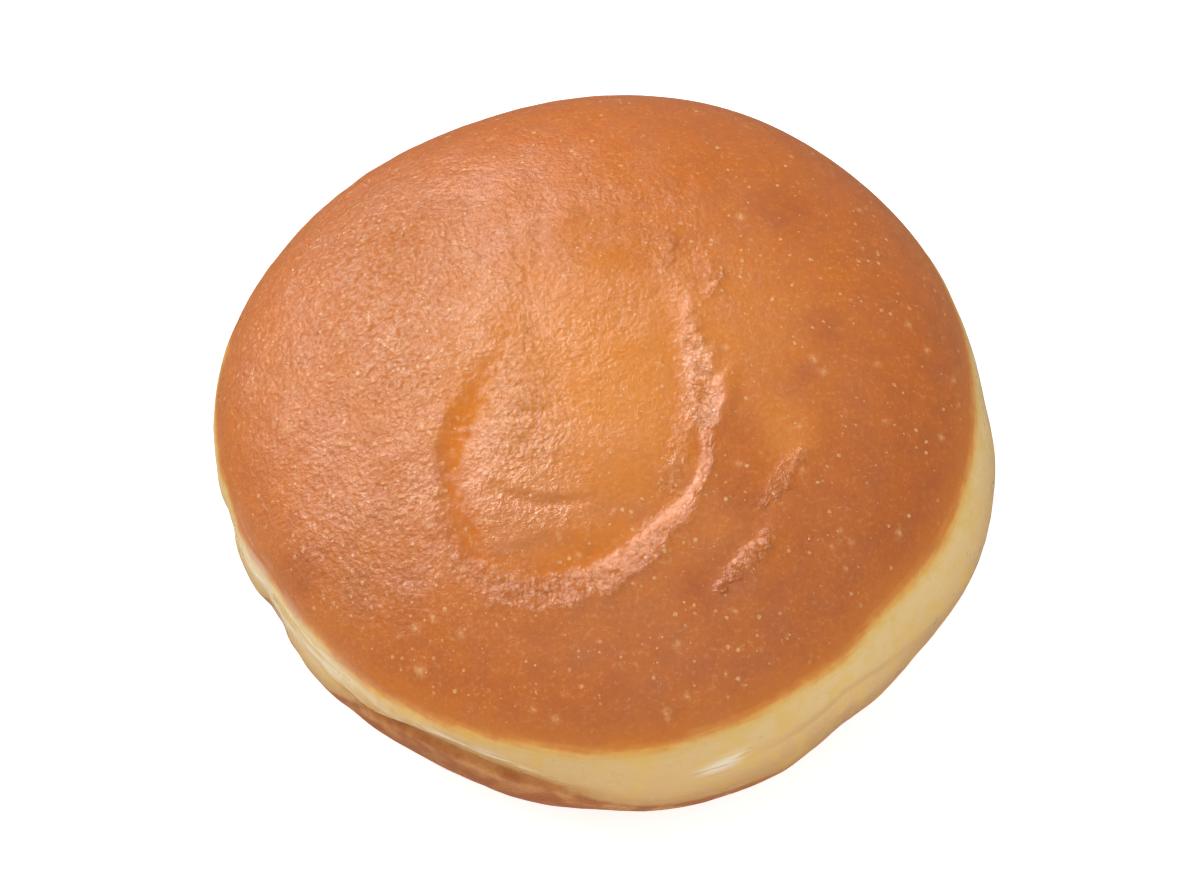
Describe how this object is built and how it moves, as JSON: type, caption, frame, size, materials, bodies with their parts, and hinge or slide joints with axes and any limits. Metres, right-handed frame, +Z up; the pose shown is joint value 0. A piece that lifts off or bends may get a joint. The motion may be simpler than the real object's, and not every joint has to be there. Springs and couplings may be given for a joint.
{
  "type": "cream-filled doughnut",
  "caption": "Round squat filled doughnut of fried yeast dough: browned domed crusts, a pale soft ring between them and a shallow hollow with a curved fold in the top.",
  "frame": {"origin": "on the resting plane, below the middle of the doughnut's length and width", "axes": "+Z up, through the crown; -Y towards the front, where the side's crease shows; +X to the right"},
  "size_m": [0.0958, 0.0954, 0.0409],
  "materials": {
    "fried_crust": "fried yeast dough: orange-brown crust with a thin oil sheen, and a pale yellow ring of dough round the side"
  },
  "bodies": {
    "root": {"doughnut": "fried_crust"}
  },
  "joints": []
}
